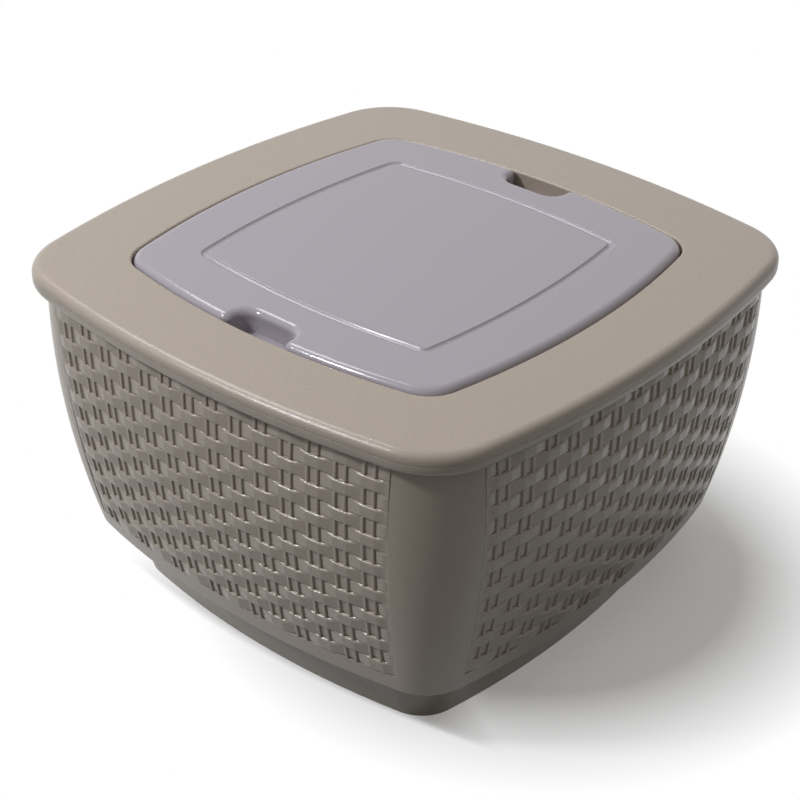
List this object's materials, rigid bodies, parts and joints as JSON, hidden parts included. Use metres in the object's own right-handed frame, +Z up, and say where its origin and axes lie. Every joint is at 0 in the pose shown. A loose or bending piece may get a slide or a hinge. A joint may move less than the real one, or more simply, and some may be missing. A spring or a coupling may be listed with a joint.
{
  "type": "cooler table",
  "caption": "Square patio table with a basket-weave body, an insulated ice well under a lift-off lid with finger notches, and a floor drain with a screw plug.",
  "frame": {"origin": "on the floor under the middle of the table", "axes": "+Z up, -Y towards the front, where one of the lid's two finger notches is; +X to the right seen from the front"},
  "size_m": [0.61, 0.61, 0.3683],
  "materials": {
    "body_plastic": "satin taupe",
    "lid_plastic": "satin grey",
    "liner_plastic": "smooth off-white",
    "foam": "rigid foam",
    "gasket": "soft matt",
    "screw_steel": "bright zinc",
    "drain_plastic": "satin"
  },
  "bodies": {
    "table": {"outer_shell": "body_plastic", "top_deck": "body_plastic", "foot_pan": "body_plastic", "foot_screws": "screw_steel", "well_liner": "liner_plastic", "wall_foam": "foam", "drain_spout": "drain_plastic", "drain_liner_washer": "gasket", "drain_pan_washer": "gasket", "drain_locknut": "drain_plastic"},
    "lid": {"lid_top": "lid_plastic", "lid_pan": "liner_plastic", "lid_foam": "foam", "lid_seal": "gasket"},
    "seal_ring": {"plug_seal": "gasket"},
    "plug": {"drain_plug": "drain_plastic"}
  },
  "joints": [
    {"name": "lid_lift", "type": "slide", "parent": "table", "child": "lid", "axis": [0, 0, 1], "range_m": [0, 0.15]},
    {"name": "seal_lift", "type": "slide", "parent": "table", "child": "seal_ring", "axis": [0, 0, 1], "range_m": [0, 0.024]},
    {"name": "plug_turn", "type": "hinge", "parent": "seal_ring", "child": "plug", "pos_m": [0, 0.14, 0.09], "axis": [0, 0, 1], "range_deg": [0, 1440]}
  ],
  "couplings": [
    {"joint": "plug_turn", "follows": "seal_lift", "rad_per_m": 1047.2}
  ]
}
